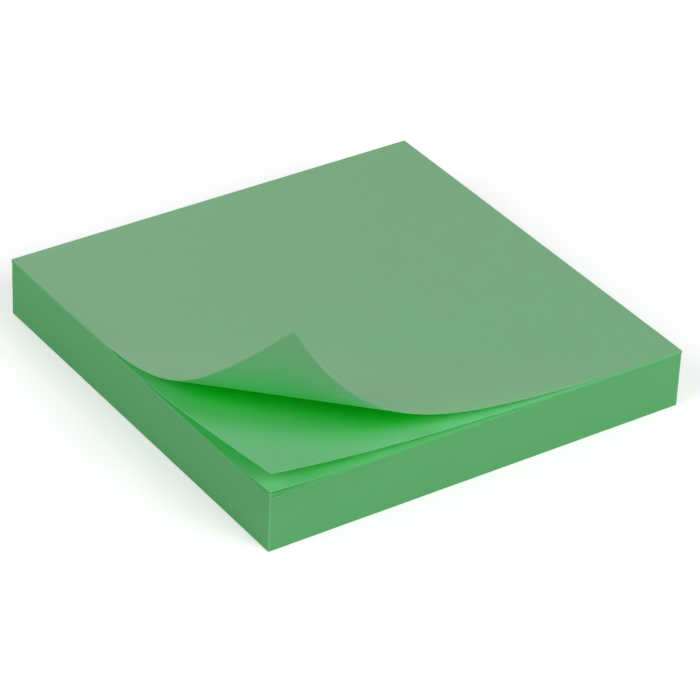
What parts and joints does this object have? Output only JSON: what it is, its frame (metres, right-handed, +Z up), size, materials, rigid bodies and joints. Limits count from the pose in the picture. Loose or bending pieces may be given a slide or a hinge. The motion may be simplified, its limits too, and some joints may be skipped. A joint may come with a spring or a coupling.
{
  "type": "sticky note pad",
  "caption": "Square pad of plain sticky notes, its top note peeled up and curled back at the front corner, with a few notes beneath it lifted a little.",
  "frame": {"origin": "bottom centre of the pad, on the surface it lies on", "axes": "+Z up through the sheets, +Y towards the glued edge, +X along the right-hand free edge away from the lifted corner; the lifted corner is at -X -Y"},
  "size_m": [0.075, 0.075, 0.0303],
  "materials": {
    "block_paper": "uncoated, cut edges of stacked green paper",
    "note_paper": "uncoated matt green note paper",
    "adhesive": "thin clear repositionable adhesive"
  },
  "bodies": {
    "root": {"sheet_block": "block_paper", "fifth_note_adhesive": "adhesive", "fifth_note": "note_paper", "fourth_note_adhesive": "adhesive", "fourth_note": "note_paper", "third_note_adhesive": "adhesive", "third_note": "note_paper", "second_note_adhesive": "adhesive", "second_note": "note_paper", "top_note_adhesive": "adhesive", "top_note": "note_paper"}
  },
  "joints": []
}
